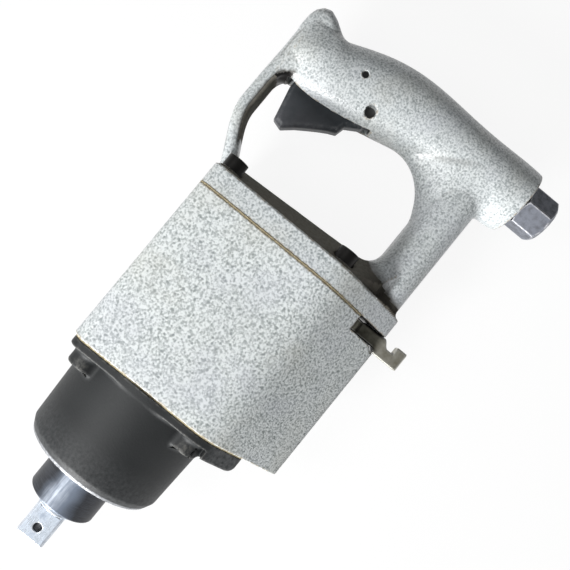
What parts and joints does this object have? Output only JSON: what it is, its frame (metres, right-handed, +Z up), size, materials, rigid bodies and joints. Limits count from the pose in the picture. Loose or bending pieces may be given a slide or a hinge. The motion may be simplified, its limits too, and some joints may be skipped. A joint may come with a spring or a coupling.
{
  "type": "air impact wrench",
  "caption": "D-handle air impact wrench: square drive, round hammer case, wedge shaped motor housing, inside trigger, reverse lever and hexagonal air inlet.",
  "frame": {"origin": "centre of the cross hole in the square drive, on the spindle axis", "axes": "+X along the spindle and out of the drive, +Y along the grip towards the air inlet, +Z up from the flat side that the wrench lies on"},
  "size_m": [0.3721, 0.1997, 0.096],
  "materials": {
    "grey_paint": "light grey hammertone paint over a casting",
    "black_case": "satin black, bare on the front rim",
    "gasket_paper": "oiled paper gasket",
    "black_screw": "black oxide",
    "dark_steel": "turned and darkened",
    "bright_steel": "ground bright",
    "ground_steel": "ground",
    "spring_steel": "oil tempered wire",
    "bronze": "machined",
    "vane_composite": "laminated composite",
    "seal_rubber": "moulded",
    "lever_steel": "plain cast steel",
    "trigger_paint": "dark blue grey",
    "inlet_steel": "turned hexagon bar"
  },
  "bodies": {
    "housing": {"motor_housing": "grey_paint", "hammer_case": "black_case", "case_gasket": "gasket_paper", "case_screws": "black_screw", "case_washers": "black_screw", "nose_sleeve": "dark_steel", "anvil_bushing": "bronze", "nose_seal": "seal_rubber", "motor_cylinder": "ground_steel", "front_end_plate": "ground_steel", "rear_end_plate": "ground_steel", "cylinder_dowel": "ground_steel", "front_bearing_outer": "ground_steel", "rear_bearing_outer": "ground_steel", "reverse_bushing": "bronze", "detent_plunger": "ground_steel", "detent_spring": "spring_steel", "handle": "grey_paint", "handle_gasket": "gasket_paper", "handle_screws": "black_screw", "trigger_pin": "ground_steel", "stop_pin": "ground_steel", "throttle_seat": "bronze", "stem_guide": "bronze", "throttle_spring": "spring_steel", "inlet_bushing": "inlet_steel", "inlet_seal": "seal_rubber", "inlet_screen": "bronze"},
    "rotor": {"rotor": "ground_steel", "rotor_vanes": "vane_composite", "front_bearing_inner": "ground_steel", "rear_bearing_inner": "ground_steel", "hammer_cage": "dark_steel", "hammer_pins": "ground_steel"},
    "anvil": {"anvil": "bright_steel"},
    "hammer_front": {"hammer_front": "dark_steel"},
    "hammer_rear": {"hammer_rear": "dark_steel"},
    "front_balls": {"front_bearing_balls": "ground_steel"},
    "rear_balls": {"rear_bearing_balls": "ground_steel"},
    "reverse": {"reverse_valve": "ground_steel", "reverse_lever": "lever_steel", "lever_pin": "ground_steel"},
    "trigger": {"trigger": "trigger_paint"},
    "throttle": {"throttle_valve": "ground_steel", "valve_face": "seal_rubber"}
  },
  "joints": [
    {"name": "rotor_spin", "type": "hinge", "parent": "housing", "child": "rotor", "pos_m": [-0.1641, 0, 0], "axis": [1, 0, 0], "continuous": true},
    {"name": "anvil_spin", "type": "hinge", "parent": "housing", "child": "anvil", "pos_m": [-0.035, 0, 0], "axis": [1, 0, 0], "continuous": true},
    {"name": "hammer_front_swing", "type": "hinge", "parent": "rotor", "child": "hammer_front", "pos_m": [-0.0715, 0.028, 0], "axis": [1, 0, 0], "range_deg": [-4, 4]},
    {"name": "hammer_rear_swing", "type": "hinge", "parent": "rotor", "child": "hammer_rear", "pos_m": [-0.088, -0.028, 0], "axis": [1, 0, 0], "range_deg": [-4, 4]},
    {"name": "front_balls_orbit", "type": "hinge", "parent": "housing", "child": "front_balls", "pos_m": [-0.1214, 0, 0], "axis": [1, 0, 0], "continuous": true},
    {"name": "rear_balls_orbit", "type": "hinge", "parent": "housing", "child": "rear_balls", "pos_m": [-0.2091, 0, 0], "axis": [1, 0, 0], "continuous": true},
    {"name": "reverse_turn", "type": "hinge", "parent": "housing", "child": "reverse", "pos_m": [-0.2109, 0.066, 0], "axis": [1, 0, 0], "range_deg": [-35, 35]},
    {"name": "trigger_pull", "type": "hinge", "parent": "housing", "child": "trigger", "pos_m": [-0.319, -0.004, 0], "axis": [0, 0, -1], "range_deg": [0, 14], "stiffness_Nm_per_rad": 1.2, "springref_deg": -14.32},
    {"name": "throttle_slide", "type": "slide", "parent": "housing", "child": "throttle", "axis": [0, 1, 0], "range_m": [0, 0.0056], "deforming": ["throttle_spring"]}
  ],
  "couplings": [
    {"joint": "anvil_spin", "follows": "rotor_spin", "ratio": 1},
    {"joint": "front_balls_orbit", "follows": "rotor_spin", "ratio": 0.3836},
    {"joint": "rear_balls_orbit", "follows": "rotor_spin", "ratio": 0.3842},
    {"joint": "throttle_slide", "follows": "trigger_pull", "m_per_rad": 0.0228}
  ]
}
